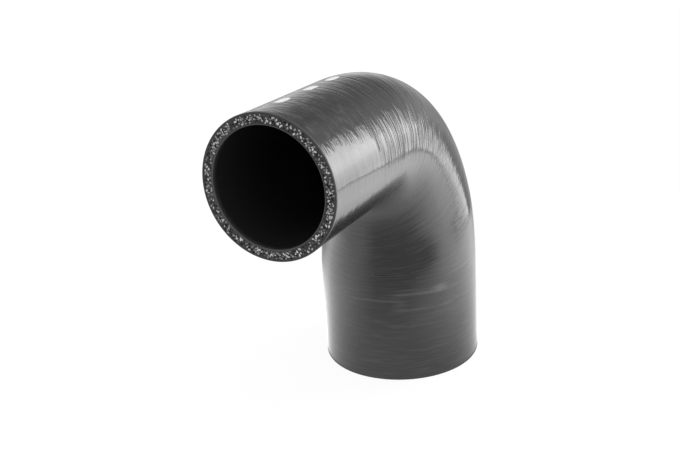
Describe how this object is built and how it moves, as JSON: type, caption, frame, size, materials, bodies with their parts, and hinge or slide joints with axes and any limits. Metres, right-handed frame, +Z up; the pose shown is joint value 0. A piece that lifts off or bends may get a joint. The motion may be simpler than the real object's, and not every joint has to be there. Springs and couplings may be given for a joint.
{
  "type": "silicone elbow hose",
  "caption": "Right-angle silicone hose elbow that steps from a larger pipe to a smaller one, with a thick fabric-reinforced wall and square-cut open ends.",
  "frame": {"origin": "under the middle of the hose's bounding box, on the surface that the larger cut end stands on", "axes": "+Z up along the larger leg; -Y the way the smaller end opens; the bend lies in the YZ plane"},
  "size_m": [0.0804, 0.1588, 0.1554],
  "materials": {
    "silicone": "gloss"
  },
  "bodies": {
    "root": {"elbow_hose": "silicone"}
  },
  "joints": []
}
